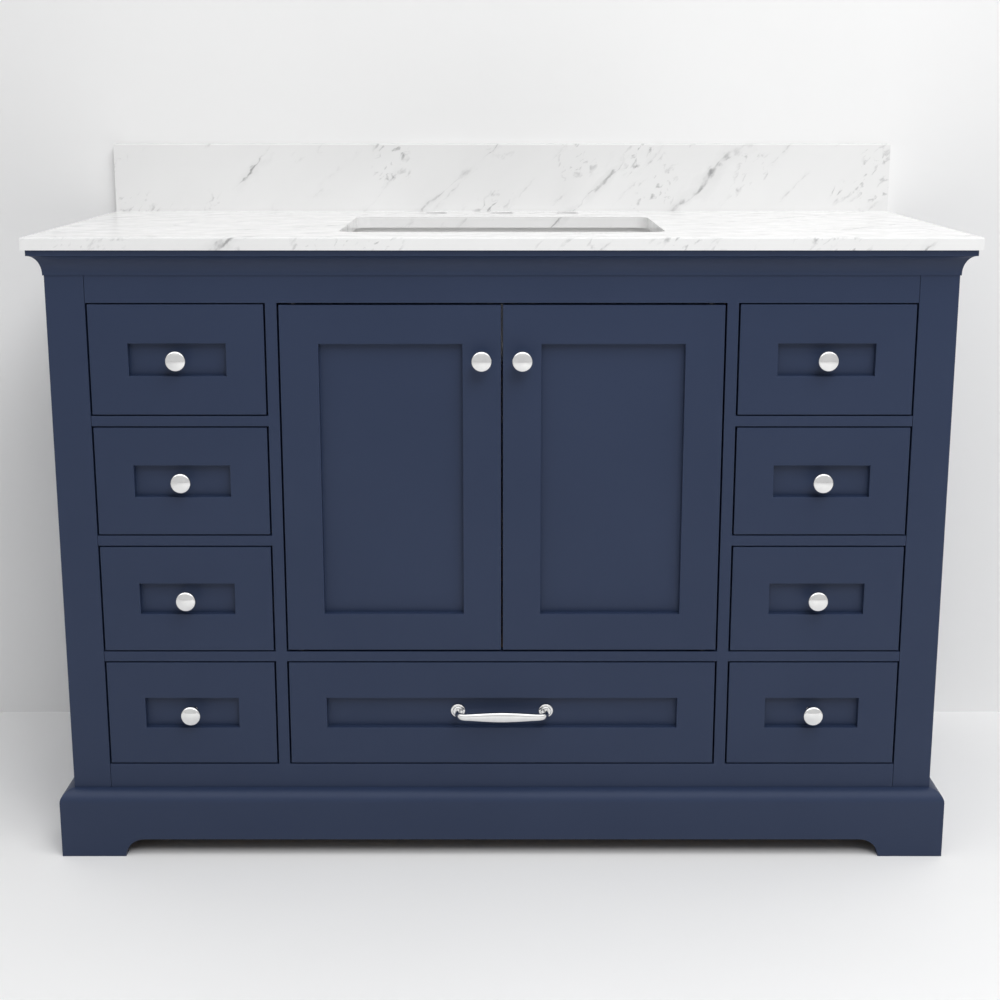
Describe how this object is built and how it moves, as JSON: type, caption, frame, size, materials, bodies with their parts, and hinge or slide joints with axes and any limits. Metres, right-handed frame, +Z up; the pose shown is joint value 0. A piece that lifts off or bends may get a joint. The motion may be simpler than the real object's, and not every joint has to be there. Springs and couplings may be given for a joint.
{
  "type": "bathroom vanity cabinet",
  "caption": "Free-standing bathroom vanity: painted face-frame cabinet with inset shaker doors and drawers, marble-look top, backsplash and undermount basin.",
  "frame": {"origin": "on the floor, under the middle of the overall box, which runs from the door knobs to the wall", "axes": "+Z up, front faces -Y, +X to the viewer's right"},
  "size_m": [1.2192, 0.5638, 0.9505],
  "materials": {
    "navy_paint": "satin paint",
    "plywood": "clear satin",
    "birch": "clear satin",
    "stone": "polished, white with grey veins",
    "porcelain": "gloss",
    "chrome": "polished",
    "steel": "zinc plated",
    "catch_plastic": "matt"
  },
  "bodies": {
    "carcass": {"face_frame_stiles": "navy_paint", "face_frame_rails": "navy_paint", "crown_moulding": "navy_paint", "plinth": "navy_paint", "side_panels": "navy_paint", "partitions": "plywood", "cabinet_floor": "plywood", "centre_shelf": "plywood", "cabinet_back": "plywood", "battens_and_blocks": "plywood", "runner_rails": "steel", "door_pivots": "steel", "sink_clips": "steel", "countertop": "stone", "backsplash": "stone", "sink_basin": "porcelain", "door_catches": "catch_plastic"},
    "left_top_drawer": {"left_top_drawer_front": "navy_paint", "left_top_drawer_box": "birch", "left_top_drawer_knob": "chrome", "left_top_drawer_runners": "steel"},
    "left_upper_drawer": {"left_upper_drawer_front": "navy_paint", "left_upper_drawer_box": "birch", "left_upper_drawer_knob": "chrome", "left_upper_drawer_runners": "steel"},
    "left_lower_drawer": {"left_lower_drawer_front": "navy_paint", "left_lower_drawer_box": "birch", "left_lower_drawer_knob": "chrome", "left_lower_drawer_runners": "steel"},
    "left_bottom_drawer": {"left_bottom_drawer_front": "navy_paint", "left_bottom_drawer_box": "birch", "left_bottom_drawer_knob": "chrome", "left_bottom_drawer_runners": "steel"},
    "right_top_drawer": {"right_top_drawer_front": "navy_paint", "right_top_drawer_box": "birch", "right_top_drawer_knob": "chrome", "right_top_drawer_runners": "steel"},
    "right_upper_drawer": {"right_upper_drawer_front": "navy_paint", "right_upper_drawer_box": "birch", "right_upper_drawer_knob": "chrome", "right_upper_drawer_runners": "steel"},
    "right_lower_drawer": {"right_lower_drawer_front": "navy_paint", "right_lower_drawer_box": "birch", "right_lower_drawer_knob": "chrome", "right_lower_drawer_runners": "steel"},
    "right_bottom_drawer": {"right_bottom_drawer_front": "navy_paint", "right_bottom_drawer_box": "birch", "right_bottom_drawer_knob": "chrome", "right_bottom_drawer_runners": "steel"},
    "centre_drawer": {"centre_drawer_front": "navy_paint", "centre_drawer_box": "birch", "centre_drawer_pull": "chrome", "centre_drawer_runners": "steel"},
    "left_door": {"left_door_front": "navy_paint", "left_door_knob": "chrome", "left_door_fittings": "steel"},
    "right_door": {"right_door_front": "navy_paint", "right_door_knob": "chrome", "right_door_fittings": "steel"}
  },
  "joints": [
    {"name": "left_top_drawer_slide", "type": "slide", "parent": "carcass", "child": "left_top_drawer", "axis": [0, -1, 0], "range_m": [0, 0.32]},
    {"name": "left_upper_drawer_slide", "type": "slide", "parent": "carcass", "child": "left_upper_drawer", "axis": [0, -1, 0], "range_m": [0, 0.32]},
    {"name": "left_lower_drawer_slide", "type": "slide", "parent": "carcass", "child": "left_lower_drawer", "axis": [0, -1, 0], "range_m": [0, 0.32]},
    {"name": "left_bottom_drawer_slide", "type": "slide", "parent": "carcass", "child": "left_bottom_drawer", "axis": [0, -1, 0], "range_m": [0, 0.32]},
    {"name": "right_top_drawer_slide", "type": "slide", "parent": "carcass", "child": "right_top_drawer", "axis": [0, -1, 0], "range_m": [0, 0.32]},
    {"name": "right_upper_drawer_slide", "type": "slide", "parent": "carcass", "child": "right_upper_drawer", "axis": [0, -1, 0], "range_m": [0, 0.32]},
    {"name": "right_lower_drawer_slide", "type": "slide", "parent": "carcass", "child": "right_lower_drawer", "axis": [0, -1, 0], "range_m": [0, 0.32]},
    {"name": "right_bottom_drawer_slide", "type": "slide", "parent": "carcass", "child": "right_bottom_drawer", "axis": [0, -1, 0], "range_m": [0, 0.32]},
    {"name": "centre_drawer_slide", "type": "slide", "parent": "carcass", "child": "centre_drawer", "axis": [0, -1, 0], "range_m": [0, 0.32]},
    {"name": "left_door_hinge", "type": "hinge", "parent": "carcass", "child": "left_door", "pos_m": [-0.27, -0.2474, 0.52545], "axis": [0, 0, -1], "range_deg": [0, 90]},
    {"name": "right_door_hinge", "type": "hinge", "parent": "carcass", "child": "right_door", "pos_m": [0.27, -0.2474, 0.52545], "axis": [0, 0, 1], "range_deg": [0, 90]}
  ]
}
